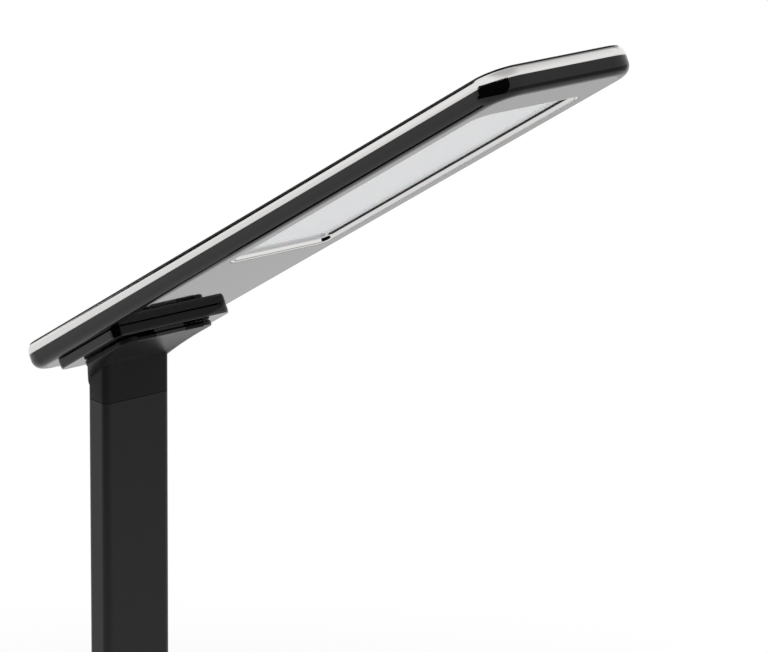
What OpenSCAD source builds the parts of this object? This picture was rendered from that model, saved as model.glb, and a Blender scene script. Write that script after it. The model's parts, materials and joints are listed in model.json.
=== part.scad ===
// Folding LED desk lamp: a slab base, a flat upright arm, a flared neck and a long
// slim light head that tilts on a hinge plate and swivels above it.
// Origin: centre of the underside of the base. +Y is the way the head points, +Z is up.

/* [Base] */
// Width of the base, side to side
base_w = 130; // [110:1:170]
// Depth of the base, front to back
base_d = 180; // [160:1:220]
// Corner radius of the base in plan
base_r = 16; // [10:1:24]
// Height of the lower tray of the base
tray_h = 8.8; // [8.4:0.1:11]
// Height of the bright band round the base
base_band_h = 3.6; // [2:0.1:5]
// Height of the top cover of the base
cover_h = 4.9; // [4.2:0.1:8]
// Wall of the base mouldings
base_wall = 2.2; // [1.6:0.1:3]
// Thickness of the rubber pad under the base
pad_t = 1.5; // [1:0.1:3]
// How far the pad is let into the tray
pad_inset = 0.8; // [0.3:0.1:0.9]
// Margin between the edge of the base and the pad
pad_margin = 7; // [4:0.5:12]
// Thickness of the steel ballast plate
ballast_t = 6; // [4:0.1:6.4]
// How far the arm stands behind the centre of the base
arm_back = 45; // [30:1:55]

/* [Base hinge] */
// Height of the base hinge axis above the base cover
base_axis_rise = 11; // [10.2:0.1:14]
// Radius of the barrel of the arm foot
barrel_r = 7.5; // [6.5:0.1:7.6]
// Radius of the base hinge pin
base_pin_r = 3; // [2:0.1:4]
// Thickness of the hinge bracket ears
ear_t = 3; // [2:0.1:4]
// Thickness of each friction washer
washer_t = 0.9; // [0.5:0.1:1.5]
// Thickness of the bracket floor
bracket_t = 2.5; // [2:0.1:2.6]

/* [Arm] */
// Width of the arm
arm_w = 36; // [32:0.5:40]
// Thickness of the arm
arm_t = 14.3; // [13:0.1:16]
// Corner radius of the arm section
arm_r = 3.4; // [2:0.1:5]
// Wall of the arm tube
arm_wall = 1.6; // [1:0.1:2]
// Height of the joint line between the arm tube and the neck
seam_z = 334; // [325:1:360]
// Width of the joint line
seam_gap = 0.3; // [0.1:0.05:0.5]

/* [Neck] */
// Height of the neck rim above the arm axis at the joint line, square to the head
rim_n = 16.5; // [15:0.1:19]
// Width of the neck rim
rim_w = 50; // [44:0.5:56]
// Length of the neck rim along the head
rim_l = 43.3; // [40:0.1:46]
// Depth of the straight edge of the rim
rim_t = 2.3; // [1.8:0.1:3]
// Corner radius of the rim
rim_r = 6; // [4:0.5:9]
// Distance from the back edge of the rim to the arm axis, along the head
rim_back = 3; // [2:0.1:4]
// Height of the flare under the rim
flare_h = 2.2; // [1.5:0.1:3.5]
// Gap between the neck rim and the hinge plate
rim_gap = 0.4; // [0.3:0.05:0.8]

/* [Hinge plate] */
// Width of the hinge plate
plate_w = 63.6; // [58:0.2:68]
// Length of the hinge plate
plate_l = 52.5; // [50:0.1:56]
// Corner radius of the hinge plate
plate_r = 5; // [3:0.5:8]
// Thickness of the upper part of the hinge plate
plate_t = 3.25; // [2.9:0.05:4]
// Thickness of the tray under the hinge plate
plate_tray_t = 1; // [0.6:0.05:1.4]
// Gap between the hinge plate and the head
head_gap = 0.25; // [0.2:0.05:0.8]
// Radius of the tilt hinge pins
tilt_pin_r = 0.7; // [0.5:0.05:0.8]
// Radius of the swivel shaft
shaft_r = 6; // [5:0.1:8]

/* [Head] */
// Tilt of the head above level
tilt = 31.4; // [20:0.01:40]
// Length of the head
head_l = 379.4; // [350:0.1:400]
// Width of the head
head_w = 76; // [72:0.5:84]
// Corner radius of the head in plan
head_r = 14; // [10:0.5:18]
// How far the head reaches behind the swivel axis
head_back = 44.2; // [38:0.1:50]
// Height of the black side of the head
side_h = 7.1; // [6.8:0.1:8.5]
// Radius of the round lower edge of the head
head_edge_r = 4.7; // [3:0.1:5.5]
// Height of the bright band round the head
band_h = 4.2; // [3.6:0.1:6]
// Radius of the upper edge of the bright band
band_edge_r = 2; // [0.5:0.1:2.1]
// Height of the edge of the head's top cover
top_h = 0.7; // [0.6:0.1:1.5]
// Wall of the head mouldings
head_wall = 1.6; // [1.2:0.1:2]
// Thickness of the panel under the head
panel_t = 1.2; // [0.8:0.1:1.4]

/* [Light] */
// Width of the light opening at the underside
light_w = 54; // [46:0.5:56]
// Length of the light opening at the underside
light_l = 191; // [170:1:215]
// Distance from the tip of the head to the light opening
light_tip = 29.9; // [14:0.1:34]
// Width of the sloping wall round the light
bezel_slope = 1.2; // [0.6:0.1:4]
// Number of light packages on each strip
led_count = 20; // [10:1:24]

/* [Clearances] */
// Radial running clearance of pins and shafts
run = 0.05; // [0.02:0.01:0.1]
// Side clearance between hinge knuckles
side_run = 0.2; // [0.1:0.05:0.4]
// Fitting clearance between pieces that are assembled
fit = 0.1; // [0.05:0.01:0.2]

/* [Hidden] */
$fn = 64;

// Heights in the base
tray_z = pad_t - pad_inset;
floor_z = tray_z + base_wall + 0.1;
band_z = tray_z + tray_h;
cover_z = band_z + base_band_h;
base_top = cover_z + cover_h;
inner_top = base_top - base_wall;
step_in = 1.6;
axis_z = base_top + base_axis_rise;

// The arm
foot_top = axis_z + 10;
tube_in_w = arm_w - 2 * arm_wall;
tube_in_t = arm_t - 2 * arm_wall;
tube_in_r = max(arm_r - arm_wall, 0.6);
plug_h = 25;
barrel_w = arm_w - 2 * washer_t;
ear_x = arm_w / 2 + side_run / 2;
wire_r = 1.5;

// The tilted stack, measured along the head (u) and square to it (n)
rim_uc = rim_back + rim_l / 2;
plate_n = rim_n + rim_gap;
body_n = plate_n + plate_tray_t;
plate_top = body_n + plate_t;
head_n = plate_top + head_gap;
plate_uc = 25.15;
rim_front = rim_back + rim_l;
knuckle_r = 1.3;
pin_u = rim_front - 1.2;
pin_n = rim_n - knuckle_r;
barrel_l = 36;
mid_l = 16;
leaf_t = 1.2;
head_uc = plate_uc - head_back + head_l / 2;
light_uc = head_uc + head_l / 2 - light_tip - light_l / 2;
web_t = 1.2;
bezel_t = 2.2;
bezel_lip = 2;
diffuser_t = 1.5;
guide_t = 2;
guide_n = bezel_t + diffuser_t;
back_n = guide_n + guide_t;
shaft_bore_r = shaft_r - 2.5;
groove_n = head_n + panel_t + 2 + 1;
shaft_top = head_n + side_h - 0.6;

// A rounded rectangle, centred
module rrect(w, l, r) {
    square([w - 2 * r, l], center = true);
    square([w, l - 2 * r], center = true);
    for (sx = [-1, 1], sy = [-1, 1]) translate([sx * (w / 2 - r), sy * (l / 2 - r)]) circle(r);
}

// The half section of a slab's edge: width r, height t, edges rounded by eb below and et above
module edge_section(r, t, eb, et) {
    difference() {
        square([r, t]);
        if (eb > 0) translate([r - eb, 0]) square(eb);
        if (et > 0) translate([r - et, t - et]) square(et);
    }
    intersection() {
        square([r, t]);
        union() {
            if (eb > 0) translate([r - eb, eb]) circle(eb);
            if (et > 0) translate([r - et, t - et]) circle(et);
        }
    }
}

// A straight bar with the slab's two edge sections
module edge_bar(w, l, r, t, eb, et) {
    rotate([90, 0, 0]) linear_extrude(l, center = true) {
        translate([-w / 2 + r, 0]) square([w - 2 * r, t]);
        for (m = [0, 1]) mirror([m, 0]) translate([w / 2 - r, 0]) edge_section(r, t, eb, et);
    }
}

// A slab with round corners in plan and softened edges
module soft_slab(w, l, t, r, eb, et) {
    edge_bar(w, l - 2 * r, r, t, eb, et);
    rotate([0, 0, 90]) edge_bar(l, w - 2 * r, r, t, eb, et);
    for (sx = [-1, 1], sy = [-1, 1]) translate([sx * (w / 2 - r), sy * (l / 2 - r), 0])
        rotate_extrude() edge_section(r, t, eb, et);
}

// A plain slab with round corners in plan
module slab(w, l, t, r) {
    linear_extrude(t) rrect(w, l, r);
}

// Children drawn on the arm axis at the joint line, in the head's own directions
module tilted() {
    translate([0, -arm_back, seam_z]) rotate([tilt, 0, 0]) children();
}

// Children drawn at the base hinge axis
module at_base_axis() {
    translate([0, -arm_back, axis_z]) children();
}

// A screw that points up: head below, shank above; it starts at the head's outer face
module screw(head_r, head_h, shank_r, length) {
    difference() {
        cylinder(r = head_r, h = head_h);
        translate([0, 0, -0.1]) cylinder(r = head_r * 0.5, h = head_h * 0.5 + 0.1, $fn = 6);
    }
    cylinder_from(head_h * 0.5, length, shank_r);
}

// A cylinder from z0 to z1
module cylinder_from(z0, z1, r) {
    translate([0, 0, z0]) cylinder(r = r, h = z1 - z0);
}

// Places of the four tray screws
base_screw_x = base_w / 2 - 12;
base_screw_y = base_d / 2 - 12;
base_screw_r = 1.5;
module at_base_screws() {
    for (sx = [-1, 1], sy = [-1, 1]) translate([sx * base_screw_x, sy * base_screw_y, 0]) children();
}

module non_slip_pad() {
    color("#2b2b2d")
        soft_slab(base_w - 2 * pad_margin, base_d - 2 * pad_margin, pad_t, base_r - pad_margin / 2, 0.4, 0);
}

inlet_z = tray_z + 4.9;
inlet_nose_r = 3.6;
inlet_bore_r = 2.9;
module base_tray() {
    color("#19191b") difference() {
        union() {
            difference() {
                translate([0, 0, tray_z]) soft_slab(base_w, base_d, tray_h, base_r, 1.5, 0);
                translate([0, 0, floor_z])
                    slab(base_w - 2 * base_wall, base_d - 2 * base_wall, tray_h, base_r - base_wall);
            }
            at_base_screws() cylinder_from(floor_z - 0.1, band_z, base_screw_r + 2);
        }
        translate([0, 0, tray_z - 1])
            slab(base_w - 2 * pad_margin + 2 * fit, base_d - 2 * pad_margin + 2 * fit,
                pad_inset + 1, base_r - pad_margin / 2);
        at_base_screws() cylinder_from(-1, tray_z + 2.4, base_screw_r + 1.6);
        at_base_screws() cylinder_from(-1, band_z + 1, base_screw_r + fit);
        translate([0, -base_d / 2 - 1, inlet_z]) rotate([-90, 0, 0])
            cylinder(r = inlet_nose_r + fit, h = base_wall + 2);
    }
}

module base_screws() {
    color("silver") at_base_screws() translate([0, 0, tray_z + pad_inset])
        screw(base_screw_r + 1.5, 1.6, base_screw_r, inner_top - tray_z - pad_inset - 0.6);
}

module base_band() {
    color("#d8d8da") translate([0, 0, band_z]) difference() {
        soft_slab(base_w, base_d, base_band_h, base_r, 0.3, 0.3);
        translate([0, 0, -1])
            slab(base_w - 2 * step_in, base_d - 2 * step_in, base_band_h + 2, base_r - step_in);
    }
}

// The top cover: its skirt drops inside the bright band and stands on the tray
board_w = 70;
board_d = 26;
board_y = base_d / 2 - 26;
board_z = inner_top - 2 - 1.6;
panel_w = 92;
panel_d = 22;
touch_t = 0.9;
module base_cover() {
    color("#101012") difference() {
        union() {
            translate([0, 0, cover_z]) soft_slab(base_w, base_d, cover_h, base_r, 0, 1.6);
            translate([0, 0, band_z])
                slab(base_w - 2 * step_in - 2 * fit, base_d - 2 * step_in - 2 * fit,
                    base_band_h + 0.1, base_r - step_in);
        }
        translate([0, 0, band_z - 1]) difference() {
            slab(base_w - 2 * step_in - 2 * base_wall, base_d - 2 * step_in - 2 * base_wall,
                inner_top - band_z + 1, base_r - step_in - base_wall);
            at_base_screws() cylinder_from(1, 20, base_screw_r + 2);
            for (sx = [-1, 1]) translate([sx * (board_w / 2 - 4), board_y, inner_top - band_z - 1])
                cylinder(r = 2.5, h = 20);
            translate([0, -arm_back, inner_top - band_z - 1])
                linear_extrude(20) rrect(arm_w + 2 * ear_t + 4, bracket_d + 4, 3);
        }
        at_base_screws() cylinder_from(band_z - 1, inner_top - 0.4, base_screw_r);
        translate([0, board_y, base_top - touch_t]) slab(panel_w + 2 * fit, panel_d + 2 * fit, 5, 4);
        at_bracket_screws() cylinder_from(inner_top - 3, base_top + 1, bracket_screw_r);
        translate([0, -arm_back, inner_top - 3]) cylinder(r = wire_r + 1.5, h = 10);
    }
}

module touch_panel() {
    color("#060607") translate([0, board_y, base_top - touch_t])
        soft_slab(panel_w, panel_d, touch_t, 4, 0, 0.2);
}

module control_board() {
    color("#1f5a35") difference() {
        translate([0, board_y, board_z]) slab(board_w, board_d, 1.6, 1);
        for (sx = [-1, 1]) translate([sx * (board_w / 2 - 4), board_y, board_z - 1])
            cylinder(r = 1.1, h = 4);
    }
}

// Sensing discs between the board and the cover, one under each touch place
module touch_electrodes() {
    color("#c08a4a") for (i = [-1, 0, 1]) translate([i * 20, board_y, board_z + 1.6])
        cylinder(r = 6, h = inner_top - board_z - 1.6);
}

module ballast_plate() {
    color("#77777a") difference() {
        translate([0, 0, floor_z])
            slab(2 * base_screw_x - 2, 2 * (base_screw_y - base_screw_r - 3), ballast_t, 4);
        translate([0, -arm_back, floor_z - 1]) cylinder(r = 12, h = ballast_t + 2);
    }
}

module power_inlet() {
    color("#141414") translate([0, -base_d / 2, inlet_z]) rotate([-90, 0, 0]) {
        difference() {
            union() {
                cylinder(r = inlet_nose_r, h = base_wall + 1);
                translate([-4.7, -(band_z - inlet_z - 0.4), base_wall + fit])
                    cube([9.4, (band_z - inlet_z - 0.4) + (inlet_z - floor_z), 12]);
            }
            translate([0, 0, -1]) cylinder(r = inlet_bore_r, h = 10);
        }
        cylinder_from(1, 10, 1);
    }
}

// The bracket that carries the arm: a floor plate with two round-topped ears
bracket_d = 34;
bracket_screw_r = 2;
ear_r = 8.6;
bracket_w = 2 * (ear_x + ear_t);
bolt_x = 13;
bolt_y = bracket_d / 2 - 5;
module at_bracket_screws() {
    for (sx = [-1, 1], sy = [-1, 1])
        translate([sx * bolt_x, -arm_back + sy * bolt_y, 0]) children();
}

module ear_outline(r) {
    circle(r);
    translate([-r, -base_axis_rise]) square([2 * r, base_axis_rise]);
}

module hinge_bracket() {
    color("#1d1d1f") difference() {
        union() {
            translate([0, -arm_back, base_top]) soft_slab(bracket_w, bracket_d, bracket_t, 3, 0, 0.6);
            for (sx = [-1, 1]) at_base_axis() translate([sx * (ear_x + ear_t / 2), 0, 0])
                rotate([90, 0, 90]) linear_extrude(ear_t, center = true) ear_outline(ear_r);
        }
        at_base_axis() rotate([0, 90, 0])
            cylinder(r = base_pin_r + run, h = bracket_w + 2, center = true);
        at_bracket_screws() cylinder_from(base_top - 1, base_top + bracket_t + 1, bracket_screw_r + fit);
        at_bracket_screws() cylinder_from(base_top + bracket_t - 1.6, base_top + 10, bracket_screw_r + 1.8);
        translate([0, -arm_back, base_top - 1]) cylinder(r = wire_r + 1.5, h = bracket_t + 2);
    }
}

module bracket_screws() {
    color("silver") at_bracket_screws() translate([0, 0, base_top + bracket_t]) rotate([180, 0, 0])
        screw(bracket_screw_r + 1.6, 1.6, bracket_screw_r, bracket_t + base_wall + 1.5);
}

// The pin: a low round head outside one ear, a shank through to the nut on the other side
pin_head_r = 5.2;
pin_head_h = 1.6;
module base_hinge_pin() {
    color("silver") at_base_axis() rotate([0, 90, 0]) {
        translate([0, 0, -bracket_w / 2 - pin_head_h]) cylinder(r = pin_head_r, h = pin_head_h);
        cylinder(r = base_pin_r, h = bracket_w + 0.2, center = true);
        cylinder_from(bracket_w / 2 - 0.1, bracket_w / 2 + 3.2, base_pin_r - 0.4);
    }
}

module base_hinge_nut() {
    color("silver") at_base_axis() rotate([0, 90, 0]) difference() {
        cylinder_from(bracket_w / 2 + 0.1, bracket_w / 2 + 3, pin_head_r);
        cylinder_from(bracket_w / 2 - 1, bracket_w / 2 + 4, base_pin_r - 0.4 + 0.02);
    }
}

module friction_washers() {
    color("#b9975b") at_base_axis() for (sx = [-1, 1])
        translate([sx * (barrel_w / 2 + (ear_x - barrel_w / 2) / 2), 0, 0]) rotate([0, 90, 0])
            difference() {
                cylinder(r = barrel_r - 0.5, h = ear_x - barrel_w / 2 - 0.1, center = true);
                cylinder(r = base_pin_r + run, h = 5, center = true);
            }
}

// The cast foot: a barrel on the hinge pin, a waist and a plug inside the arm tube
module arm_foot() {
    color("#242426") difference() {
        union() {
            at_base_axis() rotate([0, 90, 0]) cylinder(r = barrel_r, h = barrel_w, center = true);
            translate([0, -arm_back, axis_z]) slab(barrel_w, arm_t - 1, foot_top - axis_z, arm_r - 0.5);
            translate([0, -arm_back, foot_top - 0.1])
                slab(tube_in_w - 2 * fit, tube_in_t - 2 * fit, plug_h + 0.1, tube_in_r);
        }
        at_base_axis() rotate([0, 90, 0]) cylinder(r = base_pin_r + run, h = barrel_w + 2, center = true);
        translate([0, -arm_back, axis_z + base_pin_r + 1.5]) cylinder(r = wire_r + 0.3, h = plug_h + 20);
        at_arm_screws(foot_top + 12) cylinder_from(-1, 10, arm_screw_r);
    }
}

// Screws through the back of the tube: two in the foot, two in the neck
arm_screw_r = 1.25;
arm_screw_x = 9;
module at_arm_screws(z) {
    for (sx = [-1, 1]) translate([sx * arm_screw_x, -arm_back - arm_t / 2, z])
        rotate([-90, 0, 0]) children();
}
lower_screw_z = foot_top + 12;
upper_screw_z = seam_z - 12;

module arm_tube() {
    color("#232224") difference() {
        translate([0, -arm_back, foot_top]) slab(arm_w, arm_t, seam_z - seam_gap - foot_top, arm_r);
        translate([0, -arm_back, foot_top - 1])
            slab(tube_in_w, tube_in_t, seam_z - foot_top + 2, tube_in_r);
        for (z = [lower_screw_z, upper_screw_z]) at_arm_screws(z) {
            cylinder_from(-1, arm_wall + 1, arm_screw_r + fit);
            cylinder_from(-1, arm_wall * 0.6, arm_screw_r + 1.1);
        }
    }
}

module arm_screws() {
    color("#303032") for (z = [lower_screw_z, upper_screw_z]) at_arm_screws(z)
        screw(arm_screw_r + 1, arm_wall * 0.6, arm_screw_r, arm_wall + 5);
}

// The lead inside the arm, from the channel in the foot to the channel in the neck
module arm_wires() {
    color("#8a2f2c") translate([0, -arm_back, 0])
        cylinder_from(axis_z + base_pin_r + 2, seam_z + 8, wire_r);
}

// Rings of the flare: the arm's own section at the bottom, the rim's outline at the top
ring_n = 48;
function super_pt(a, hw, hl, r) =
    let (cx = (hw - r) * (cos(a) >= 0 ? 1 : -1), cy = (hl - r) * (sin(a) >= 0 ? 1 : -1))
    [cx + r * cos(a), cy + r * sin(a)];
flare_steps = 6;
crease_n = rim_n - rim_t - flare_h;
function mix(a, b, t) = a + (b - a) * t;
function flare_ring(k) =
    let (t = k / flare_steps, e = pow(t, 2.2),
        n = crease_n + (flare_h + 0.3) * t,
        hw = mix(arm_w / 2 - 0.05, rim_w / 2 - 0.4, e),
        hl = mix(arm_t / 2 / cos(tilt) - 0.05, rim_l / 2 - 0.4, e),
        uc = mix(crease_n * tan(tilt), rim_uc, e),
        r = mix(arm_r, rim_r, e))
    [for (i = [0:ring_n - 1])
        let (p = super_pt((i + 0.5) * 360 / ring_n, hw, hl, r)) [p[0], p[1] + uc, n]];
module flare() {
    pts = [for (k = [0:flare_steps]) each flare_ring(k)];
    side = [for (k = [0:flare_steps - 1], i = [0:ring_n - 1])
        let (a = k * ring_n + i, b = k * ring_n + (i + 1) % ring_n)
        each [[a, a + ring_n, b], [b, a + ring_n, b + ring_n]]];
    bottom = [for (i = [0:ring_n - 1]) i];
    top = [for (i = [0:ring_n - 1]) flare_steps * ring_n + ring_n - 1 - i];
    polyhedron(points = pts, faces = concat(side, [bottom, top]), convexity = 4);
}

// The neck: a plug in the tube, the arm's section carried up, and the flared rim under the plate
neck_plug_h = 24;
module neck() {
    color("#0e0e10") difference() {
        union() {
            difference() {
                translate([0, -arm_back, seam_z]) slab(arm_w, arm_t, 60, arm_r);
                tilted() translate([-100, -100, rim_n - 0.5]) cube([200, 200, 100]);
            }
            translate([0, -arm_back, seam_z - neck_plug_h])
                slab(tube_in_w - 2 * fit, tube_in_t - 2 * fit, neck_plug_h + 0.1, tube_in_r);
            tilted() flare();
            tilted() translate([0, rim_uc, rim_n - rim_t]) soft_slab(rim_w, rim_l, rim_t, rim_r, 0.3, 0.3);
        }
        translate([0, -arm_back, seam_z - neck_plug_h - 1]) cylinder(r = wire_r + 0.3, h = 60);
        at_arm_screws(upper_screw_z) cylinder_from(-1, 10, arm_screw_r);
        tilted() translate([0, leaf_uc, rim_n - leaf_t]) slab(leaf_w + 2 * fit, leaf_l + 2 * fit, 5, 2);
        tilted() translate([-barrel_l / 2 - side_run, pin_u - knuckle_r - side_run,
            pin_n - knuckle_r - side_run]) cube([barrel_l + 2 * side_run, 20, 20]);
        tilted() translate([-barrel_l / 2 - side_run, leaf_uc, rim_n - leaf_t])
            cube([barrel_l + 2 * side_run, leaf_l, leaf_t + 1]);
        at_leaf_screws() cylinder_from(-leaf_bite - 0.05, 5, leaf_screw_r);
    }
}

// The steel leaf let into the rim, with the two outer knuckles of the hinge at the rim's front edge
leaf_w = 42;
leaf_l = rim_l - 17;
leaf_uc = rim_front - 3 - leaf_l / 2;
leaf_screw_r = 1;
leaf_bite = 0.9;
module at_leaf_screws() {
    tilted() for (sx = [-1, 1], su = [-1, 1])
        translate([sx * (leaf_w / 2 - 4), leaf_uc + su * (leaf_l / 2 - 5), rim_n - leaf_t]) children();
}
// A rolled knuckle of length l, centred on the tilt axis
module knuckle(l) {
    translate([0, pin_u, pin_n]) rotate([0, 90, 0]) cylinder(r = knuckle_r, h = l, center = true);
}
module neck_leaf() {
    outer_l = (barrel_l - mid_l) / 2 - side_run;
    color("#1c1c1e") difference() {
        tilted() {
            translate([0, leaf_uc, rim_n - leaf_t]) slab(leaf_w, leaf_l, leaf_t, 2);
            for (sx = [-1, 1]) translate([sx * (barrel_l - outer_l) / 2, 0, 0]) {
                knuckle(outer_l);
                translate([-outer_l / 2, leaf_uc, rim_n - leaf_t]) cube([outer_l, pin_u - leaf_uc, leaf_t]);
            }
        }
        tilted() translate([0, pin_u, pin_n]) rotate([0, 90, 0])
            cylinder(r = tilt_pin_r + run, h = plate_w, center = true);
        at_leaf_screws() {
            cylinder_from(-1, leaf_t + 1, leaf_screw_r + fit);
            cylinder_from(leaf_t - 0.8, leaf_t + 1, leaf_screw_r + 1);
        }
    }
}

module leaf_screws() {
    color("silver") at_leaf_screws() translate([0, 0, leaf_t - 0.02]) rotate([180, 0, 0])
        screw(leaf_screw_r + 0.9, 0.75, leaf_screw_r, leaf_t + leaf_bite);
}

disc_r = 11;
disc_t = 1.2;
plate_screw_r = 1;
module at_plate_screws() {
    tilted() for (i = [0:2]) translate([0, plate_uc, plate_top]) rotate([0, 0, 90 + i * 120])
        translate([disc_r - 2.4, 0, 0]) rotate([180, 0, 0]) children();
}

module plate_body() {
    color("#0f0f11") difference() {
        tilted() translate([0, plate_uc, body_n]) soft_slab(plate_w, plate_l, plate_t, plate_r, 0, 0.15);
        tilted() translate([0, plate_uc, body_n - 1]) cylinder(r = shaft_r + run, h = plate_t + 2);
        tilted() translate([0, plate_uc, body_n - 1]) cylinder(r = disc_r + fit, h = disc_t + 1);
        at_plate_screws() {
            cylinder_from(-1, plate_t, plate_screw_r + fit);
            cylinder_from(-1, 0.8, plate_screw_r + 1);
        }
    }
}

// The tray under the plate, with the middle knuckle of the hinge below it
module plate_tray() {
    color("#101012") difference() {
        tilted() {
            translate([0, plate_uc, plate_n])
                soft_slab(plate_w - 0.3, plate_l - 0.3, plate_tray_t, plate_r, 0.3, 0);
            knuckle(mid_l);
            translate([-mid_l / 2, pin_u - knuckle_r / 2, pin_n])
                cube([mid_l, knuckle_r, plate_n - pin_n + plate_tray_t / 2]);
        }
        tilted() translate([0, plate_uc, plate_n - 1]) cylinder(r = shaft_bore_r, h = plate_tray_t + 2);
        tilted() translate([0, pin_u, pin_n]) rotate([0, 90, 0])
            cylinder(r = tilt_pin_r + 0.01, h = plate_w, center = true);
    }
}

module tilt_pins() {
    pin_l = barrel_l / 2 - 2;
    color("silver") tilted() for (sx = [-1, 1]) translate([sx * (barrel_l - pin_l) / 2, pin_u, pin_n])
        rotate([0, 90, 0]) cylinder(r = tilt_pin_r, h = pin_l, center = true);
}

// The hollow shaft: a disc held in the plate, a stem up into the head, a groove for the circlip
module swivel_shaft() {
    color("silver") difference() {
        tilted() translate([0, plate_uc, 0]) {
            cylinder_from(body_n, body_n + disc_t, disc_r);
            cylinder_from(body_n, shaft_top, shaft_r);
        }
        tilted() translate([0, plate_uc, 0]) {
            cylinder_from(body_n - 1, shaft_top + 1, shaft_bore_r);
            difference() {
                cylinder_from(groove_n, groove_n + 1, shaft_r + 1);
                cylinder_from(groove_n - 1, groove_n + 2, shaft_r - 0.6);
            }
        }
        at_plate_screws() cylinder_from(0, plate_t + 1, plate_screw_r);
    }
}

module plate_screws() {
    color("silver") at_plate_screws()
        translate([0, 0, 0.02]) screw(plate_screw_r + 0.9, 0.75, plate_screw_r, plate_t - 0.1);
}

module swivel_washer() {
    color("#b9975b") tilted() translate([0, plate_uc, 0]) difference() {
        cylinder_from(groove_n - 0.95, groove_n, shaft_r + 3.2);
        cylinder_from(groove_n - 2, groove_n + 1, shaft_r + run);
    }
}

module swivel_circlip() {
    color("#55565a") tilted() translate([0, plate_uc, 0]) difference() {
        cylinder_from(groove_n, groove_n + 0.95, shaft_r + 2.2);
        cylinder_from(groove_n - 1, groove_n + 2, shaft_r - 0.55);
        translate([-2, shaft_r - 2.5, groove_n - 1]) cube([4, 10, 3]);
    }
}

// Children drawn at the centre of the head's underside
module on_head() {
    tilted() translate([0, head_uc, head_n]) children();
}
swivel_u = plate_uc - head_uc;
light_u = light_uc - head_uc;
head_step = 2.2;
panel_in = head_edge_r + 0.7;
ledge = 1.4;
cavity_n = panel_t + 1.2;
cavity_h = side_h - cavity_n - web_t;
seat_in = head_step + fit + 0.8;

// Screws from the underside of the web up into the cover
head_screw_r = 1;
head_screw_x = head_w / 2 - head_wall - 4.5;
head_screw_rear = 60;
head_screw_tip = 8;
module at_head_screws() {
    on_head() for (sx = [-1, 1], u = [-head_l / 2 + head_screw_rear, swivel_u + 30,
        head_l / 2 - head_screw_tip - head_wall])
        translate([sx * (u > 0 ? head_screw_x - 6 : head_screw_x), u, 0]) children();
}

// The lower shell: the black side, open below for the panel, with a web that carries the rest
module head_body() {
    color("#19191b") difference() {
        on_head() {
            difference() {
                soft_slab(head_w, head_l, side_h, head_r, head_edge_r, 0);
                translate([0, 0, -1])
                    slab(head_w - 2 * panel_in, head_l - 2 * panel_in, panel_t + 1, head_r - panel_in);
                slab(head_w - 2 * panel_in - 2 * ledge, head_l - 2 * panel_in - 2 * ledge,
                    side_h, head_r - panel_in - ledge);
                translate([0, 0, cavity_n]) {
                    soft_slab(head_w - 2 * head_wall, head_l - 2 * head_wall, cavity_h,
                        head_r - head_wall, min(head_edge_r - head_wall, cavity_h), 0);
                    slab(head_w - 2 * seat_in, head_l - 2 * seat_in, side_h, head_r - seat_in);
                }
            }
            translate([0, 0, side_h])
                slab(head_w - 2 * head_step - 2 * fit, head_l - 2 * head_step - 2 * fit, web_t,
                    head_r - head_step);
        }
        on_head() translate([0, swivel_u, side_h - 1]) cylinder(r = shaft_r - 1, h = 5);
        at_head_screws() cylinder_from(side_h - 1, side_h + 5, head_screw_r + fit);
    }
}

module head_band() {
    color("#dcdcde") on_head() translate([0, 0, side_h]) difference() {
        soft_slab(head_w, head_l, band_h, head_r, 0.4, band_edge_r);
        translate([0, 0, -1])
            slab(head_w - 2 * head_step, head_l - 2 * head_step, band_h + 2, head_r - head_step);
    }
}

// The top cover: a thin plate over the band, with a skirt inside it that stands on the web
cover_in = band_edge_r - 0.4;
module head_cover() {
    color("#101012") difference() {
        on_head() {
            translate([0, 0, side_h + band_h])
                soft_slab(head_w - 2 * cover_in, head_l - 2 * cover_in, top_h, head_r - cover_in, 0, 0.5);
            translate([0, 0, side_h + web_t]) difference() {
                slab(head_w - 2 * head_step - 2 * fit, head_l - 2 * head_step - 2 * fit,
                    band_h - web_t + 0.1, head_r - head_step);
                translate([0, 0, -1])
                    slab(head_w - 2 * head_step - 2 * head_wall, head_l - 2 * head_step - 2 * head_wall,
                        band_h - web_t + 1, head_r - head_step - head_wall);
            }
        }
        at_head_screws() cylinder_from(side_h, side_h + band_h - 0.4, head_screw_r);
    }
    color("#101012") difference() {
        at_head_screws() cylinder_from(side_h + web_t, side_h + band_h + 0.1, head_screw_r + 1.5);
        at_head_screws() cylinder_from(side_h, side_h + band_h - 0.4, head_screw_r);
    }
}

module head_screws() {
    color("silver") at_head_screws() translate([0, 0, side_h - 1.1])
        screw(head_screw_r + 0.9, 1.1, head_screw_r, band_h + 0.4);
}

module underside_panel() {
    color("#0e0e10") difference() {
        on_head() slab(head_w - 2 * panel_in - 2 * fit, head_l - 2 * panel_in - 2 * fit, panel_t,
            head_r - panel_in);
        on_head() translate([0, light_u, -1])
            slab(light_w + 2 + 2 * fit, light_l + 2 + 2 * fit, panel_t + 2, bezel_r + 1);
        on_head() translate([0, swivel_u, -1]) cylinder(r = shaft_r + run, h = panel_t + 2);
    }
}

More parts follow.
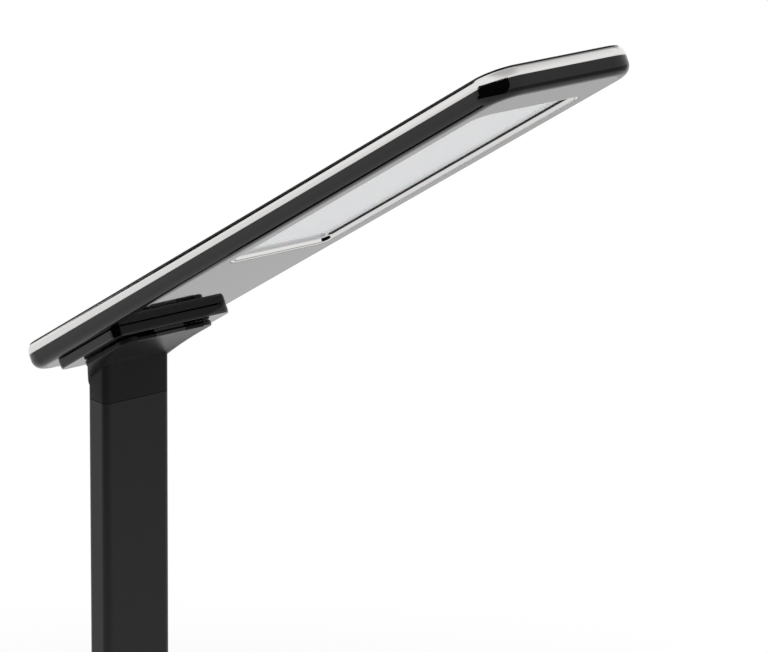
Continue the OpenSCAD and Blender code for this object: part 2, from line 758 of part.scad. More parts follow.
// The bright bezel: flush with the panel, sloping in to the diffuser
bezel_r = 6;
module light_bezel() {
    color("#e4e4e6") on_head() translate([0, light_u, 0]) difference() {
        union() {
            slab(light_w + 2, light_l + 2, bezel_t, bezel_r + 1);
            translate([0, 0, panel_t])
                slab(light_w + 2 + 2 * bezel_lip, light_l + 2 + 2 * bezel_lip, bezel_t - panel_t,
                    bezel_r + 2);
        }
        hull() {
            translate([0, 0, -0.01]) linear_extrude(0.01) rrect(light_w, light_l, bezel_r, $fn = 32);
            translate([0, 0, bezel_t]) linear_extrude(0.01)
                rrect(light_w - 2 * bezel_slope, light_l - 2 * bezel_slope, bezel_r - bezel_slope / 2,
                    $fn = 32);
        }
    }
}

sheet_w = light_w - 2 * bezel_slope + 5;
sheet_l = light_l - 2 * bezel_slope + 5;
module diffuser() {
    color("#e8eaec") on_head() translate([0, light_u, bezel_t]) slab(sheet_w, sheet_l, diffuser_t, 4);
}

module light_guide() {
    color("#dfe8ec") on_head() translate([0, light_u, guide_n]) slab(sheet_w - 3, sheet_l, guide_t, 2);
}

module reflector() {
    color("white") on_head() translate([0, light_u, back_n])
        slab(sheet_w, sheet_l, side_h - back_n, 2);
}

// One strip along each long side of the guide, with its row of light packages
led_pitch = (sheet_l - 12) / led_count;
module led_strips() {
    color("#d9c27a") on_head() for (sx = [-1, 1])
        translate([sx * (sheet_w / 2 - 0.5), light_u, guide_n]) {
            translate([-0.5, -sheet_l / 2, 0]) cube([1, sheet_l, guide_t]);
            for (i = [0:led_count - 1])
                translate([-sx * 0.7 - 0.25, (i - (led_count - 1) / 2) * led_pitch - 1.4, 0.3])
                    cube([0.5, 2.8, guide_t - 0.6]);
        }
}

driver_w = 40;
driver_l = 64;
driver_u = 70;
module driver_board() {
    color("#1f5a35") on_head() translate([0, swivel_u + driver_u, side_h + web_t]) {
        slab(driver_w, driver_l, 1.2, 1);
        for (i = [0:2]) translate([-10 + i * 10, -8, 1.1]) cube([6, 8, 1.2], center = false);
    }
}

// The steel plate in the head that turns on the shaft
module swivel_plate() {
    color("#9a9a9e") on_head() translate([0, swivel_u, panel_t]) difference() {
        slab(44, 44, 2, 4);
        translate([0, 0, -1]) cylinder(r = shaft_r + run, h = 4);
    }
}

non_slip_pad();
base_tray();
base_band();
base_cover();
ballast_plate();
control_board();
touch_electrodes();
touch_panel();
power_inlet();
base_screws();
hinge_bracket();
bracket_screws();
base_hinge_pin();
base_hinge_nut();
friction_washers();
arm_foot();
arm_tube();
arm_screws();
arm_wires();
neck();
neck_leaf();
leaf_screws();
plate_body();
plate_tray();
tilt_pins();
swivel_shaft();
plate_screws();
swivel_washer();
swivel_circlip();
head_body();
head_band();
head_cover();
underside_panel();
light_bezel();
diffuser();
light_guide();
led_strips();
reflector();
driver_board();
swivel_plate();
head_screws();
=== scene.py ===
import json
import math

import bpy
from mathutils import Matrix, Vector


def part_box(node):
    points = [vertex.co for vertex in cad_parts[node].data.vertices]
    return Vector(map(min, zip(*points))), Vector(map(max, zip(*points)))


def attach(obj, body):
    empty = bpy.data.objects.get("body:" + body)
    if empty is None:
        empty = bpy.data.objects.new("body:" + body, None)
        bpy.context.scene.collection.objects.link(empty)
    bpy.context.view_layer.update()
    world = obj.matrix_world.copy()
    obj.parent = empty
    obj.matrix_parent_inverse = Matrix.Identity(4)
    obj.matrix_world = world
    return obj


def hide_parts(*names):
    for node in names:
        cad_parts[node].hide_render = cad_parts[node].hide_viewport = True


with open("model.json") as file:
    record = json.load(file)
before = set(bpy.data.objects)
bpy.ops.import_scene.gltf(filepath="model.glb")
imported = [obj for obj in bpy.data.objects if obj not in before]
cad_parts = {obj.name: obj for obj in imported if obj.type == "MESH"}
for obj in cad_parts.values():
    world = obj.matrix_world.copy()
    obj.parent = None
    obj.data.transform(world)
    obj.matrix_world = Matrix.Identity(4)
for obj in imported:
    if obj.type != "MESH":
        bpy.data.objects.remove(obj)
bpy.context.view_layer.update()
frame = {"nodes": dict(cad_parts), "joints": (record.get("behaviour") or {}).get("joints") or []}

# The view: a long lens a little above the head and in front of the lamp, to its left. It takes in
# the head, the neck and the upper arm only. Its place and turn come from a fit to straight edges.
view = bpy.data.cameras.new("view")
view.sensor_fit = "HORIZONTAL"
view.sensor_width = 36.0
view.lens = 245.4213
view.clip_end = 30.0
view_holder = bpy.data.objects.new("view", view)
view_holder.matrix_world = Matrix(((-0.7770367, -0.1815356, 0.6027096, 1.3145375),
                                   (0.6293814, -0.2387435, 0.7395137, 1.7478825),
                                   (0.0096449, 0.9539635, 0.2997676, 1.0641805),
                                   (0.0, 0.0, 0.0, 1.0)))
bpy.context.scene.collection.objects.link(view_holder)
bpy.context.scene.camera = view_holder
bpy.context.scene.view_settings.view_transform = "Standard"


def linear(code):
    """An sRGB hex colour as the linear colour that the shaders take."""
    parts = [int(code[i:i + 2], 16) / 255 for i in (1, 3, 5)]
    return tuple(p / 12.92 if p <= 0.04045 else ((p + 0.055) / 1.055) ** 2.4
                 for p in parts) + (1.0,)


def add_node(tree, kind, values=None, links=None, **settings):
    """Add a node; values go into its sockets, links come into them, settings are its own fields."""
    node = tree.nodes.new("ShaderNode" + kind)
    for field, value in settings.items():
        setattr(node, field, value)
    for socket, value in (values or {}).items():
        node.inputs[socket].default_value = value
    for socket, source in (links or {}).items():
        tree.links.new(source, node.inputs[socket])
    return node


def seen_as_it_is(tree, ray):
    """1 for a ray from the camera, off a mirror or through a clear part, 0 for a lighting ray."""
    seen = add_node(tree, "Math", operation="ADD", use_clamp=True,
                    links={0: ray.outputs["Is Camera Ray"], 1: ray.outputs["Is Glossy Ray"]})
    return add_node(tree, "Math", operation="ADD", use_clamp=True,
                    links={0: seen.outputs[0], 1: ray.outputs["Is Transmission Ray"]})


# The surround: white to the eye, greyer overhead in mirrors, and a soft fill at half strength for
# everything else.
fill_level, ceiling_level = 0.5, 0.55
room = bpy.data.worlds.new("white surround")
room.use_nodes = True
bpy.context.scene.world = room
tree = room.node_tree
ray = add_node(tree, "LightPath")
seen = seen_as_it_is(tree, ray)
upward = add_node(tree, "SeparateXYZ", links={0: add_node(tree, "TexCoord").outputs["Generated"]})
ceiling = add_node(tree, "MapRange", interpolation_type="SMOOTHSTEP",
                   values={"From Min": 0.62, "From Max": 0.95, "To Min": 1.0,
                           "To Max": ceiling_level},
                   links={"Value": upward.outputs["Z"]})
mirrored = add_node(tree, "Math", operation="MAXIMUM",
                    links={0: ceiling.outputs[0], 1: ray.outputs["Is Camera Ray"]})
level = add_node(tree, "MapRange", values={"To Min": fill_level},
                 links={"Value": seen.outputs[0], "To Max": mirrored.outputs[0]})
surround = tree.nodes["Background"]
surround.inputs["Color"].default_value = (1.0, 1.0, 1.0, 1.0)
tree.links.new(level.outputs[0], surround.inputs["Strength"])

# The floor: a sheet of matt white paper that keeps the lamp's shadow and fades into the surround.
floor_radius = 6.0
paper_ends, white_starts = 0.25, 0.7
mirrored_white, seen_white = 0.9, 1.0
bpy.ops.object.select_all(action="DESELECT")
bpy.ops.mesh.primitive_circle_add(vertices=96, radius=floor_radius, fill_type="NGON",
                                  location=(0, 0, 0))
floor = bpy.context.object
floor.name = "floor"
floor_paint = bpy.data.materials.new("matt white paper sweep")
floor_paint.use_nodes = True
tree = floor_paint.node_tree
place = add_node(tree, "TexCoord").outputs["Object"]
reach = add_node(tree, "VectorMath", operation="LENGTH", links={0: place})
fade = add_node(tree, "MapRange", interpolation_type="SMOOTHSTEP",
                values={"From Min": paper_ends, "From Max": white_starts},
                links={"Value": reach.outputs["Value"]})
ray = add_node(tree, "LightPath")
seen = seen_as_it_is(tree, ray)
share = add_node(tree, "Math", operation="MULTIPLY",
                 links={0: seen.outputs[0], 1: fade.outputs[0]})
grain = add_node(tree, "TexNoise", values={"Scale": 900.0, "Detail": 4.0}, links={"Vector": place})
tooth = add_node(tree, "Bump", values={"Strength": 0.1, "Distance": 0.0002},
                 links={"Height": grain.outputs[0]})
paper = tree.nodes["Principled BSDF"]
paper.inputs["Base Color"].default_value = linear("#f2f2f2")
paper.inputs["Roughness"].default_value = 0.9
paper.inputs["Specular IOR Level"].default_value = 0.1
tree.links.new(tooth.outputs[0], paper.inputs["Normal"])
level = add_node(tree, "MapRange", values={"To Min": mirrored_white, "To Max": seen_white},
                 links={"Value": ray.outputs["Is Camera Ray"]})
white = add_node(tree, "Emission", values={"Color": (1, 1, 1, 1)},
                 links={"Strength": level.outputs[0]})
both = add_node(tree, "MixShader",
                links={0: share.outputs[0], 1: paper.outputs[0], 2: white.outputs[0]})
tree.links.new(both.outputs[0], tree.nodes["Material Output"].inputs["Surface"])
floor.data.materials.append(floor_paint)

# The lamps: one broad and soft, high over the head, and a weaker one from the right. Mirrors don't
# show them.
lamp_aim = Vector((0, 0, 0.35))
for lamp_name, spot, size, power in (("soft lamp above", (0.5, 0.2, 2.2), 1.8, 26.0),
                                     ("soft lamp right", (-1.6, 1.2, 1.1), 1.4, 9.0)):
    lamp = bpy.data.lights.new(lamp_name, "AREA")
    lamp.shape = "DISK"
    lamp.size = size
    lamp.energy = power
    lamp_holder = bpy.data.objects.new(lamp_name, lamp)
    lamp_holder.location = spot
    lamp_holder.visible_glossy = False
    lamp_holder.rotation_euler = (lamp_aim - Vector(spot)).to_track_quat("-Z", "Y").to_euler()
    bpy.context.scene.collection.objects.link(lamp_holder)

# Four upright cards that only polished surfaces see, as in any picture of glossy things: the dark
# room round the camera, a grey stretch in front, a dark one behind at the height of the head for
# the line along the top of the bright band, and a grey one up behind. Turn and span are in
# degrees round the lamp, and the top of a card may slope from high to high_end.
card_cuts = 23
for card_name, grey, turn, span, radius, low, high, high_end in (
        ("dark room round the camera", "#0c0c0c", 12.0, 98.0, 0.9, 0.0, 1.14, 0.66),
        ("grey card in front", "#aaaaaa", -80.0, 92.0, 0.9, 0.0, 0.42, 0.42),
        ("dark card behind", "#101010", 160.0, 46.0, 1.4, 0.42, 0.95, 0.95),
        ("grey card up behind", "#a8a8a8", 205.0, 60.0, 1.3, 1.0, 2.2, 2.2)):
    bpy.ops.object.select_all(action="DESELECT")
    bpy.ops.mesh.primitive_plane_add(size=1.0, location=(0, 0, 0))
    card = bpy.context.object
    card.name = card_name
    bpy.ops.object.mode_set(mode="EDIT")
    bpy.ops.mesh.subdivide(number_cuts=card_cuts)
    bpy.ops.object.mode_set(mode="OBJECT")
    for point in card.data.vertices:
        along, up = point.co.x + 0.5, point.co.y + 0.5
        angle = math.radians(turn + along * span)
        top = high + along * (high_end - high)
        point.co = (math.sin(angle) * radius, math.cos(angle) * radius, low + up * (top - low))
    card_paint = bpy.data.materials.new(card_name)
    card_paint.use_nodes = True
    tree = card_paint.node_tree
    glow = add_node(tree, "Emission", values={"Color": linear(grey), "Strength": 1.0})
    tree.links.new(glow.outputs[0], tree.nodes["Material Output"].inputs["Surface"])
    card.data.materials.append(card_paint)
    card.visible_camera = card.visible_diffuse = False
    card.visible_shadow = card.visible_transmission = False


def new_finish(name, colour, metallic, roughness, **sockets):
    """A finish to start from: its node tree, its shader and the place on the piece, in metres."""
    finish = bpy.data.materials.new(name)
    finish.use_nodes = True
    tree = finish.node_tree
    shader = tree.nodes["Principled BSDF"]
    shader.inputs["Base Color"].default_value = linear(colour)
    shader.inputs["Metallic"].default_value = metallic
    shader.inputs["Roughness"].default_value = roughness
    for socket, value in sockets.items():
        shader.inputs[socket.replace("_", " ")].default_value = value
    return finish, tree, shader, add_node(tree, "TexCoord").outputs["Object"]


def texture(tree, kind, place, **values):
    """A pattern fixed to the piece, such as Noise or Voronoi, as a node."""
    return add_node(tree, "Tex" + kind, values=values, links={"Vector": place})


def vary_roughness(tree, shader, source, least, most, start=0.0, end=1.0):
    """Let the roughness follow a pattern: least where it is at start, most where it is at end."""
    rough = add_node(tree, "MapRange", links={"Value": source},
                     values={"From Min": start, "From Max": end, "To Min": least, "To Max": most})
    tree.links.new(rough.outputs[0], shader.inputs["Roughness"])


def emboss(tree, shader, source, strength, distance):
    """Let a pattern tilt the surface; the distance is in metres."""
    bump = add_node(tree, "Bump", values={"Strength": strength, "Distance": distance},
                    links={"Height": source})
    tree.links.new(bump.outputs[0], shader.inputs["Normal"])


def coat_nodes(finish, *names):
    """Give solids of the frame their finish."""
    for name in names:
        solid = frame["nodes"][name]
        if not solid.material_slots:
            solid.data.materials.append(finish)
        for slot in solid.material_slots:
            slot.material = finish


# The pad under the base: a moulded sheet of black rubber with a fine leather-like tooth, glued
# into the shallow recess of the tray.
rubber, tree, shader, place = new_finish("moulded rubber", "#232325", 0.0, 0.75)
tooth = texture(tree, "Voronoi", place, Scale=900.0)
dust = texture(tree, "Noise", place, Scale=140.0, Detail=3.0)
vary_roughness(tree, shader, dust.outputs[0], 0.62, 0.85)
emboss(tree, shader, tooth.outputs[0], 0.35, 0.0003)
coat_nodes(rubber, "non_slip_pad")

# The mouldings that show as gloss black: tray and cover of the base, upper part of the hinge
# plate, shell and cover of the head. Injection moulded ABS from a polished tool: deep black, a
# mirror that waves very slightly, with a faint haze from handling.
gloss_abs, tree, shader, place = new_finish("gloss moulded ABS", "#060607", 0.0, 0.04,
                                            IOR=1.5, Specular_IOR_Level=0.31)
wave = texture(tree, "Noise", place, Scale=45.0, Detail=1.0)
haze = texture(tree, "Noise", place, Scale=260.0, Detail=5.0)
vary_roughness(tree, shader, haze.outputs[0], 0.02, 0.06, start=0.3, end=0.75)
emboss(tree, shader, wave.outputs[0], 0.02, 0.0003)
coat_nodes(gloss_abs, "base_tray", "base_cover", "plate_body", "head_body", "head_cover")

# The weight in the base and the plate that the head turns on: cut from hot rolled steel and zinc
# plated.
plate_steel, tree, shader, place = new_finish("galvanised steel plate", "#8f9194", 1.0, 0.45)
spangle = texture(tree, "Voronoi", place, Scale=220.0)
vary_roughness(tree, shader, spangle.outputs["Color"], 0.32, 0.58)
coat_nodes(plate_steel, "ballast_plate", "swivel_plate")

# The boards in base and head: glass-epoxy laminate under green solder mask.
board, tree, shader, place = new_finish("glass-epoxy board with solder mask", "#1f5a35", 0.0, 0.35)
weave = texture(tree, "Wave", place, Scale=700.0, Distortion=1.5)
tint = add_node(tree, "MixRGB", values={1: linear("#1c5231"), 2: linear("#26683f")},
                links={0: weave.outputs["Fac"]})
tree.links.new(tint.outputs[0], shader.inputs["Base Color"])
coat_nodes(board, "control_board", "driver_board")

# The sensing discs between board and cover: tinned copper.
copper, tree, shader, place = new_finish("tinned copper", "#b98a57", 1.0, 0.3)
stain = texture(tree, "Noise", place, Scale=300.0, Detail=4.0)
vary_roughness(tree, shader, stain.outputs[0], 0.22, 0.42)
coat_nodes(copper, "touch_electrodes")

# The touch panel: a black-backed sheet of polished acrylic let into the cover, left bare.
acrylic, tree, shader, place = new_finish("black-backed acrylic", "#050506", 0.0, 0.03,
                                          IOR=1.49, Specular_IOR_Level=0.35)
fingers = texture(tree, "Noise", place, Scale=120.0, Detail=5.0)
vary_roughness(tree, shader, fingers.outputs[0], 0.02, 0.12, start=0.4)
coat_nodes(acrylic, "touch_panel")

# The power inlet: a glass-filled nylon housing, with its plated pin at the centre of the bore.
pin_radius = 0.0012
nylon, tree, shader, place = new_finish("glass-filled nylon", "#161616", 0.0, 0.55)
speck = texture(tree, "Noise", place, Scale=1500.0, Detail=3.0)
emboss(tree, shader, speck.outputs[0], 0.2, 0.0001)
inlet_low, inlet_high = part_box("power_inlet")
inlet_z = inlet_low.z + (inlet_high.z - inlet_low.z) * 0.5
centre = add_node(tree, "Mapping", links={"Vector": place},
                  values={"Location": (0.0, 0.0, -inlet_z), "Scale": (1.0, 0.0, 1.0)})
away = add_node(tree, "VectorMath", operation="LENGTH", links={0: centre.outputs[0]})
on_pin = add_node(tree, "Math", operation="LESS_THAN", values={1: pin_radius},
                  links={0: away.outputs["Value"]})
tint = add_node(tree, "MixRGB", values={1: linear("#161616"), 2: linear("#d5cfbf")},
                links={0: on_pin.outputs[0]})
tree.links.new(tint.outputs[0], shader.inputs["Base Color"])
tree.links.new(on_pin.outputs[0], shader.inputs["Metallic"])
coat_nodes(nylon, "power_inlet")

# The bright band round the base: ABS with a chrome plating, pressed on between tray and cover. A
# mirror with a slight orange peel. The band and the frame of the light in the head have it too.
chrome, tree, shader, place = new_finish("chrome plated ABS", "#e2e1e0", 1.0, 0.08)
peel = texture(tree, "Noise", place, Scale=420.0, Detail=2.0)
smear = texture(tree, "Noise", place, Scale=90.0, Detail=4.0)
vary_roughness(tree, shader, smear.outputs[0], 0.05, 0.16)
emboss(tree, shader, peel.outputs[0], 0.02, 0.0001)
coat_nodes(chrome, "base_band")

# The screws inside base, neck, hinge plate and head: zinc plated steel.
zinc, tree, shader, place = new_finish("zinc plated steel", "#b9bcc0", 1.0, 0.3)
brush = texture(tree, "Noise", place, Scale=900.0, Detail=3.0)
vary_roughness(tree, shader, brush.outputs[0], 0.22, 0.42)
coat_nodes(zinc, "base_screws", "bracket_screws", "leaf_screws", "plate_screws", "head_screws")

# The screws in the arm's foot and the clip on the swivel shaft: steel, black oxide finished.
oxide, tree, shader, place = new_finish("black oxide steel", "#2c2c2f", 1.0, 0.42)
brush = texture(tree, "Noise", place, Scale=1200.0, Detail=3.0)
vary_roughness(tree, shader, brush.outputs[0], 0.32, 0.55)
coat_nodes(oxide, "arm_screws", "swivel_circlip")

# The hinge bracket and the arm's foot: zinc die castings under a fine-grained black powder coat.
powder, tree, shader, place = new_finish("powder coated zinc casting", "#1b1b1d", 0.0, 0.48)
grit = texture(tree, "Noise", place, Scale=1100.0, Detail=2.0)
emboss(tree, shader, grit.outputs[0], 0.3, 0.00012)
coat_nodes(powder, "hinge_bracket", "arm_foot")

# Pins, nut and shaft: steel, turned and ground to size.
ground, tree, shader, place = new_finish("ground steel", "#a9abae", 1.0, 0.22)
turned = texture(tree, "Noise", place, Scale=1500.0, Detail=2.0)
vary_roughness(tree, shader, turned.outputs[0], 0.15, 0.32)
coat_nodes(ground, "base_hinge_pin", "base_hinge_nut", "tilt_pins", "swivel_shaft")

# Friction washers: phosphor bronze, stamped.
bronze, tree, shader, place = new_finish("phosphor bronze", "#b08a55", 1.0, 0.35)
stain = texture(tree, "Noise", place, Scale=500.0, Detail=4.0)
vary_roughness(tree, shader, stain.outputs[0], 0.25, 0.5)
coat_nodes(bronze, "friction_washers", "swivel_washer")

# The arm: an aluminium extrusion with a satin black anodised skin. Faint drawing lines run up it
# and the etched skin spreads the light softly.
anodised, tree, shader, place = new_finish("black anodised aluminium", "#141213", 0.0, 0.36,
                                           Specular_IOR_Level=0.3)
drawn = add_node(tree, "Mapping", values={"Scale": (1.0, 1.0, 0.01)}, links={"Vector": place})
lines = texture(tree, "Noise", drawn.outputs[0], Scale=1600.0, Detail=2.0)
etch = texture(tree, "Noise", place, Scale=2200.0, Detail=2.0)
vary_roughness(tree, shader, lines.outputs[0], 0.3, 0.44)
emboss(tree, shader, etch.outputs[0], 0.12, 0.00006)
coat_nodes(anodised, "arm_tube")

# The lead inside the arm: PVC.
sheath, tree, shader, place = new_finish("PVC sheath", "#2a2a2c", 0.0, 0.4)
ripple = texture(tree, "Noise", place, Scale=200.0)
emboss(tree, shader, ripple.outputs[0], 0.1, 0.0002)
coat_nodes(sheath, "arm_wires")

# The hinge plate and the head lean with the swivel axis: u runs along the head, n square to it.
swivel = next(joint for joint in frame["joints"] if joint["name"] == "head_swivel")
lean_up = Vector(swivel["axis"]).normalized()
lean = Matrix((Vector((1, 0, 0)), lean_up.cross(Vector((1, 0, 0))), lean_up)).transposed().to_4x4()
lean.translation = Vector(swivel["pos_m"])


def lean_box(name):
    """Lowest and highest corner of a solid in the leaning directions x, u, n."""
    solid = frame["nodes"][name]
    spots = [lean.inverted() @ solid.matrix_world @ v.co for v in solid.data.vertices]
    return [Vector(pick(spot[i] for spot in spots) for i in range(3)) for pick in (min, max)]


def start_slab(name, low, high, radius, segments=12):
    """A flat slab with round corners in plan, left in edit mode with its top face selected."""
    bpy.ops.object.select_all(action="DESELECT")
    bpy.ops.mesh.primitive_plane_add(size=1.0, location=(0, 0, 0))
    piece = bpy.context.object
    piece.name = piece.data.name = name
    middle = (low + high) / 2
    spread = Matrix.Diagonal((high.x - low.x, high.y - low.y, 1.0, 1.0))
    piece.data.transform(Matrix.Translation((middle.x, middle.y, low.z)) @ spread)
    bpy.ops.object.mode_set(mode="EDIT")
    bpy.ops.mesh.select_all(action="SELECT")
    bpy.ops.mesh.bevel(offset=radius, segments=segments, affect="VERTICES")
    bpy.ops.mesh.select_all(action="SELECT")
    bpy.ops.mesh.extrude_region_move(TRANSFORM_OT_translate={"value": (0, 0, high.z - low.z)})
    return piece


def carry_on(steps):
    """Carry the selected face on by insets: how far inwards and outwards for each, in metres."""
    for inwards, outwards in steps:
        bpy.ops.mesh.inset(thickness=inwards, depth=outwards)


def pick_low_face(piece):
    """Select only the face that looks straight down and lies lowest."""
    bpy.ops.mesh.normals_make_consistent(inside=False)
    bpy.ops.mesh.select_all(action="DESELECT")
    bpy.ops.object.mode_set(mode="OBJECT")
    lowest = min(piece.data.polygons, key=lambda face: (round(face.center.z, 6), -face.area))
    lowest.select = True
    bpy.ops.object.mode_set(mode="EDIT")


def open_through():
    """Take out the selected face and join the two open rims by a wall, so the slab is a ring."""
    bpy.ops.mesh.delete(type="ONLY_FACE")
    bpy.ops.mesh.select_non_manifold(extend=False, use_wire=False, use_boundary=True,
                                     use_multi_face=False, use_non_contiguous=False,
                                     use_verts=False)
    bpy.ops.mesh.bridge_edge_loops()


def set_down(piece, place, finish, body, angle=35.0):
    """Leave edit mode: the piece cleaned, put in place, shaded soft, finished and on its body."""
    bpy.ops.mesh.select_all(action="SELECT")
    bpy.ops.mesh.normals_make_consistent(inside=False)
    bpy.ops.object.mode_set(mode="OBJECT")
    piece.data.transform(place)
    piece.data.update()
    bpy.ops.object.shade_smooth_by_angle(angle=math.radians(angle))
    piece.data.materials.append(finish)
    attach(piece, body)


# The neck: one moulding of glass-filled nylon with a satin skin. First its stem: the plug that
# fits the tube and the arm's section carried up, cut off just under the rim.
neck_skin, tree, shader, place = new_finish("satin moulded nylon", "#1b1a1c", 0.0, 0.3,
                                            IOR=1.5, Specular_IOR_Level=0.12)
skin = texture(tree, "Noise", place, Scale=350.0, Detail=3.0)
vary_roughness(tree, shader, skin.outputs[0], 0.26, 0.36)

arm_low, arm_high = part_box("arm_tube")
neck_low, neck_high = lean_box("neck")
rim_top = neck_high.z
arm_round, edge_break, plug_in, plug_long, joint_line = 0.0034, 0.0002, 0.0017, 0.024, 0.0003
stem_high, stem_below_rim = 0.06, 0.0005
seam = arm_high.z + joint_line
stem = start_slab("neck_stem", Vector((arm_low.x, arm_low.y, seam)),
                  Vector((arm_high.x, arm_high.y, seam + stem_high)), arm_round, 8)
pick_low_face(stem)
carry_on(((edge_break, edge_break), (plug_in, 0.0)))
bpy.ops.mesh.extrude_region_move(TRANSFORM_OT_translate={"value": (0, 0, -plug_long)})
bpy.ops.mesh.select_all(action="SELECT")
bpy.ops.mesh.bisect(plane_co=lean @ Vector((0, 0, rim_top - stem_below_rim)), plane_no=lean_up,
                    clear_outer=True, use_fill=True)
bpy.ops.mesh.select_all(action="SELECT")
bpy.ops.mesh.normals_make_consistent(inside=False)
bpy.ops.object.mode_set(mode="OBJECT")

# Then the rim under the hinge plate, and from it the flare, drawn down to the arm in steps that
# shrink and turn. Its crease drops towards the back, so the flare is deeper there.
rim_long, rim_deep, rim_round, rim_soft = 0.0385, 0.0023, 0.006, 0.0003
rim_base = rim_top - rim_deep
neck = start_slab("neck_moulded",
                  Vector((neck_low.x, neck_high.y - rim_long, rim_base + rim_soft)),
                  Vector((neck_high.x, neck_high.y, rim_top - rim_soft)), rim_round)
carry_on(((rim_soft, rim_soft),))
pick_low_face(neck)
carry_on(((rim_soft, rim_soft),))
flare_steps, flare_power, crease_drop = 14, 1.55, math.radians(12.0)
flare_foot, flare_inside = 0.0117, 0.0001
lean_angle = math.acos(lean_up.z)
arm_middle = lean.inverted() @ Vector((0, (arm_low.y + arm_high.y) / 2, seam + flare_foot))
rim_middle = Vector((0, neck_high.y - rim_long / 2, rim_base))
start_wide = arm_high.x - arm_low.x - flare_inside
start_long = (arm_high.y - arm_low.y) / math.cos(lean_angle + crease_drop) - flare_inside
end_wide, end_long = neck_high.x - neck_low.x - 2 * rim_soft, rim_long - 2 * rim_soft
wide, long, middle = end_wide, end_long, rim_middle
for step in range(1, flare_steps + 1):
    down = step / flare_steps
    spread = (1 - down) ** flare_power
    next_middle = Vector((0, arm_middle.y + (rim_middle.y - arm_middle.y) * spread,
                          rim_middle.z + (arm_middle.z - rim_middle.z) * down))
    next_wide = start_wide + (end_wide - start_wide) * spread
    next_long = start_long + (end_long - start_long) * spread
    bpy.ops.mesh.extrude_region_move(TRANSFORM_OT_translate={"value": next_middle - middle})
    bpy.ops.transform.resize(value=(next_wide / wide, next_long / long, next_long / long),
                             center_override=next_middle)
    bpy.ops.transform.rotate(value=-crease_drop / flare_steps, orient_axis="X",
                             center_override=next_middle)
    wide, long, middle = next_wide, next_long, next_middle
bpy.ops.mesh.select_all(action="SELECT")
bpy.ops.mesh.normals_make_consistent(inside=False)
bpy.ops.object.mode_set(mode="OBJECT")
neck.data.transform(lean)

# Last, the stem joined in, and out of the rim the pocket for the leaf, the run-out in front of it
# and the clearance for the barrel of the hinge.
leaf_wide, leaf_long, leaf_thick, leaf_in = 0.0422, 0.0265, 0.0012, 0.0029
knuckle, barrel_long, axis_in, play = 0.0013, 0.0364, 0.0012, 0.0002
past_front, past_top = 0.01, 0.005
leaf_front, cut_front = neck_high.y - leaf_in, neck_high.y + past_front
tools = [stem]
for name, half, back, front, cut_floor in (
        ("leaf_pocket", leaf_wide / 2, leaf_front - leaf_long, leaf_front, -leaf_thick),
        ("leaf_run_out", barrel_long / 2, leaf_front - past_front, cut_front, -leaf_thick),
        ("barrel_clearance", barrel_long / 2, neck_high.y - axis_in - knuckle - play, cut_front,
         -2 * knuckle - play)):
    tool = start_slab(name, Vector((-half, back, rim_top + cut_floor)),
                      Vector((half, front, rim_top + past_top)), play, 2)
    bpy.ops.object.mode_set(mode="OBJECT")
    tool.data.transform(lean)
    tools.append(tool)
for tool in tools:
    bpy.context.view_layer.objects.active = neck
    cut = neck.modifiers.new("shape", "BOOLEAN")
    cut.operation = "UNION" if tool is stem else "DIFFERENCE"
    cut.object = tool
    bpy.ops.object.modifier_apply(modifier=cut.name)
    bpy.data.objects.remove(tool)
bpy.ops.object.select_all(action="DESELECT")
neck.select_set(True)
bpy.ops.object.mode_set(mode="EDIT")
set_down(neck, Matrix.Identity(4), neck_skin, "arm", 30.0)
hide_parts("neck")

# The hinge leaf in the neck: steel, stamped, its two outer knuckles rolled, then tumbled and black
# oxide finished.
leaf_steel, tree, shader, place = new_finish("black oxide hinge steel", "#1f1f21", 1.0, 0.3)
tumble = texture(tree, "Noise", place, Scale=800.0, Detail=3.0)
vary_roughness(tree, shader, tumble.outputs[0], 0.22, 0.4)
coat_nodes(leaf_steel, "neck_leaf")

# The tray under the hinge plate: pressed steel, stove enamelled gloss black, with the middle
# knuckle of the hinge rolled from it.
enamel, tree, shader, place = new_finish("stove enamelled steel", "#060607", 0.0, 0.05, IOR=1.5)
peel = texture(tree, "Noise", place, Scale=300.0, Detail=2.0)
vary_roughness(tree, shader, peel.outputs[0], 0.03, 0.07)
emboss(tree, shader, peel.outputs[0], 0.02, 0.0002)
coat_nodes(enamel, "plate_tray")

# The sheet behind the light guide: white polyester film that sends the light down.
film, tree, shader, place = new_finish("white polyester film", "#f0f0f0", 0.0, 0.6)
fibre = texture(tree, "Noise", place, Scale=900.0, Detail=4.0)
emboss(tree, shader, fibre.outputs[0], 0.1, 0.0001)
coat_nodes(film, "reflector")

# The light guide: clear cast acrylic, lit from its long edges, with fine dots on its back.
clear, tree, shader, place = new_finish("clear cast acrylic", "#f4f8f8", 0.0, 0.02,
                                        IOR=1.49, Transmission_Weight=1.0)
dots = texture(tree, "Voronoi", place, Scale=600.0)
emboss(tree, shader, dots.outputs[0], 0.1, 0.0001)
coat_nodes(clear, "light_guide")

# The light strips along its edges: narrow white boards with yellow packages.
strip, tree, shader, place = new_finish("white board with yellow light packages", "#d9c27a",
                                        0.0, 0.4)
phosphor = texture(tree, "Noise", place, Scale=400.0)
tint = add_node(tree, "MixRGB", values={1: linear("#d6bf77"), 2: linear("#e3d19a")},
                links={0: phosphor.outputs[0]})
tree.links.new(tint.outputs[0], shader.inputs["Base Color"])
coat_nodes(strip, "led_strips")

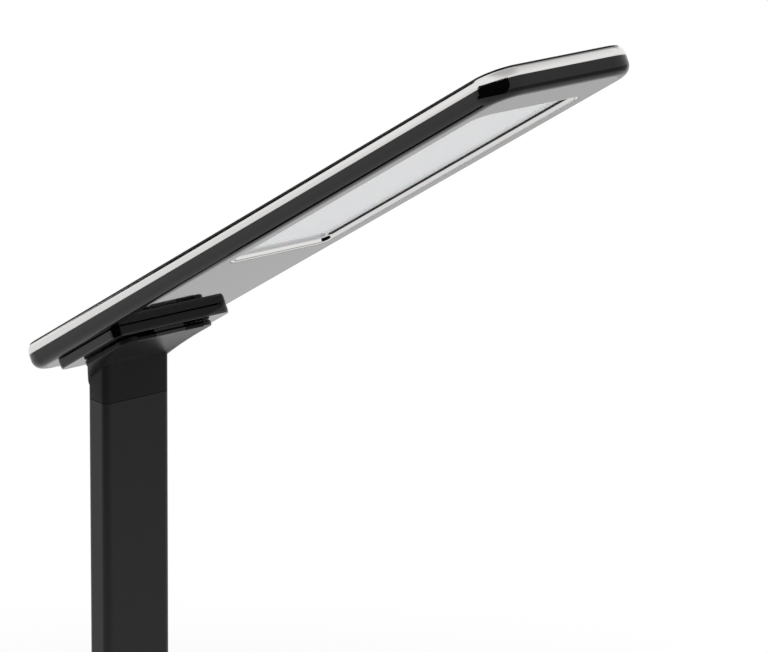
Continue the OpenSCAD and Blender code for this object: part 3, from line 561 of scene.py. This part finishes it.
# The diffuser: a sheet of opal acrylic with a finely etched face.
opal, tree, shader, place = new_finish("opal acrylic", "#dfe1e3", 0.0, 0.12, IOR=1.49,
                                       Subsurface_Weight=0.2, Subsurface_Scale=0.002)
etch = texture(tree, "Noise", place, Scale=2400.0, Detail=2.0)
vary_roughness(tree, shader, etch.outputs[0], 0.08, 0.16)
coat_nodes(opal, "diffuser")

# The frame of the light: plated as the band of the base is, with a rolled lip and a steep wall up
# to the diffuser. It snaps into the panel from below.
low, high = lean_box("light_bezel")
lip_out, lip_deep, panel_deep = 0.002, 0.0003, 0.0012
bezel_high, bezel_corner = high.z - low.z, 0.007
catch_out, catch_in = 0.0006, 0.0022
lip_roll = ((0.0001, 0.0002), (0.0003, 0.0001), (0.0003, -0.00005), (0.0003, -0.0002),
            (0.0002, -0.0003), (0.0001, -0.0004))
wall = ((0.0003, -(bezel_high - 0.00125)), (0.0006, -0.0002))
bezel = start_slab("light_bezel_rolled",
                   Vector((low.x + lip_out, low.y + lip_out, low.z + lip_deep)),
                   Vector((high.x - lip_out, high.y - lip_out, low.z + panel_deep)),
                   bezel_corner)
carry_on(((-catch_out, 0.0), (catch_out, bezel_high - panel_deep), (catch_in, 0.0)))
bpy.ops.mesh.delete(type="ONLY_FACE")
pick_low_face(bezel)
carry_on(lip_roll + wall)
open_through()
set_down(bezel, lean, chrome, "head", 50.0)
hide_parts("light_bezel")

# Two thin black strips between the long walls of that frame and the diffuser, black to paint the
# shadow in the gap there.
shadow_gap_black, tree, shader, place = new_finish("black strip as painted shadow gap", "#101011", 0.0, 0.9)
cells = texture(tree, "Voronoi", place, Scale=2500.0)
emboss(tree, shader, cells.outputs[0], 0.5, 0.0002)
strip_wide, strip_high, strip_short, wall_in = 0.0018, 0.0003, 0.009, 0.0023
glue_gap, cut_edge, cut_corner = 0.00002, 0.0001, 0.0005
for name, side in (("shadow_gap_strip_left", -1), ("shadow_gap_strip_right", 1)):
    middle_x = (low.x + high.x) / 2 + side * ((high.x - low.x) / 2 - lip_out - wall_in
                                              - strip_wide / 2)
    shadow_gap_strip = start_slab(name,
                        Vector((middle_x - strip_wide / 2, low.y + strip_short,
                                high.z - strip_high - glue_gap)),
                        Vector((middle_x + strip_wide / 2, high.y - strip_short,
                                high.z - 3 * glue_gap)), cut_corner, 4)
    carry_on(((cut_edge, 2 * glue_gap),))
    set_down(shadow_gap_strip, lean, shadow_gap_black, "head")

# The panel under the head: a flat moulding with a harder, more mirror-like black.
panel_skin, tree, shader, place = new_finish("polished black acrylic", "#070708", 0.0, 0.03,
                                             IOR=1.5, Specular_IOR_Level=0.78)
wave = texture(tree, "Noise", place, Scale=30.0, Detail=1.0)
vary_roughness(tree, shader, wave.outputs[0], 0.02, 0.045)
emboss(tree, shader, wave.outputs[0], 0.02, 0.0003)
coat_nodes(panel_skin, "underside_panel")

# The band round the head: chrome plated too and crowned, so that it shows a dark line above, the
# room in the middle and the floor below. It is pressed on between the shell and the cover.
low, high = lean_box("head_band")
head_corner, band_grip, band_foot, band_edge = 0.014, 0.0022, 0.00025, 0.0003
crown = ((0.00007, 0.0005), (0.0001, 0.0006), (0.00013, 0.0006), (0.00018, 0.0006),
         (0.00024, 0.0005), (0.0003, 0.0004), (0.0004, 0.00025), (0.0004, 0.00013))
crown_in = 0.00182
band = start_slab("head_band_crowned", Vector((low.x, low.y, low.z + band_edge)),
                  Vector((high.x, high.y, low.z + 2 * band_edge)), head_corner)
carry_on(crown + ((band_grip - crown_in, 0.0),))
bpy.ops.mesh.delete(type="ONLY_FACE")
pick_low_face(band)
carry_on(((band_foot, 0.00003), (0.0, band_foot), (band_grip - band_foot, 0.0)))
open_through()
set_down(band, lean, chrome, "head", 50.0)
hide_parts("head_band")
